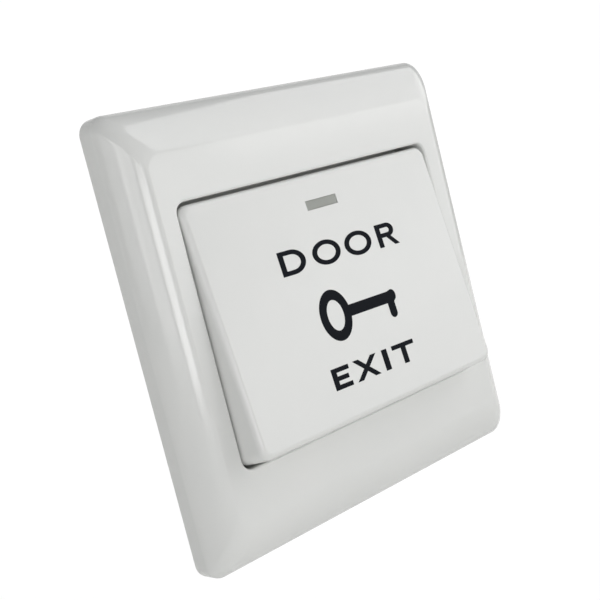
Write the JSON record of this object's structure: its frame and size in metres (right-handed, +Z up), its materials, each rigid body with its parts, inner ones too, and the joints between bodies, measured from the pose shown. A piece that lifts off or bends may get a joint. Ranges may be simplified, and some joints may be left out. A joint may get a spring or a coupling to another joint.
{
  "type": "door exit button",
  "caption": "Square wall plate with one wide rocking key that springs back, on a mounting plate with a rear switch housing and screw terminals.",
  "frame": {"origin": "middle of the two wall box screws, on the wall plane behind the plate", "axes": "+X to the right as seen from the room, +Y into the wall, +Z up"},
  "size_m": [0.086, 0.0377, 0.086],
  "materials": {
    "gloss_white_abs": "moulded, glossy",
    "satin_white_abs": "moulded, satin",
    "translucent_insert": "translucent, glossy",
    "natural_nylon": "moulded, satin",
    "grey_nylon": "moulded, fine spark texture",
    "dark_acetal": "moulded, satin",
    "zinc_steel": "bright zinc plate",
    "spring_steel": "drawn wire",
    "strip_brass": "rolled strip",
    "contact_silver": "silver alloy button"
  },
  "bodies": {
    "base": {"cover_frame": "gloss_white_abs", "mounting_plate": "satin_white_abs", "mechanism_housing": "grey_nylon", "housing_screws": "zinc_steel", "terminal_block": "grey_nylon", "block_screws": "zinc_steel", "return_spring": "spring_steel", "contact_spring": "spring_steel", "common_terminal": "strip_brass", "open_terminal": "strip_brass", "closed_terminal": "strip_brass", "open_contact": "contact_silver", "closed_contact": "contact_silver", "common_clamp": "zinc_steel", "open_clamp": "zinc_steel", "closed_clamp": "zinc_steel", "terminal_screws": "zinc_steel"},
    "rocker": {"key": "gloss_white_abs", "indicator_insert": "translucent_insert", "cradle": "natural_nylon"},
    "pusher": {"plunger": "dark_acetal"},
    "lever": {"contact_lever": "strip_brass", "lever_contact": "contact_silver"}
  },
  "joints": [
    {"name": "key_press", "type": "hinge", "parent": "base", "child": "rocker", "pos_m": [0, -0.00837, 0], "axis": [1, 0, 0], "range_deg": [0, 10], "stiffness_Nm_per_rad": 0.15, "springref_deg": -8.59},
    {"name": "plunger_slide", "type": "slide", "parent": "base", "child": "pusher", "axis": [0, 1, 0], "range_m": [0, 0.00192], "deforming": ["return_spring"]},
    {"name": "contact_swing", "type": "hinge", "parent": "base", "child": "lever", "pos_m": [0.0063, 0.0035, 0.01], "axis": [1, 0, 0], "range_deg": [0, 5.24], "deforming": ["contact_spring"]}
  ],
  "couplings": [
    {"joint": "plunger_slide", "follows": "key_press", "m_per_rad": 0.010979},
    {"joint": "contact_swing", "follows": "key_press", "ratio": 0.52355}
  ]
}
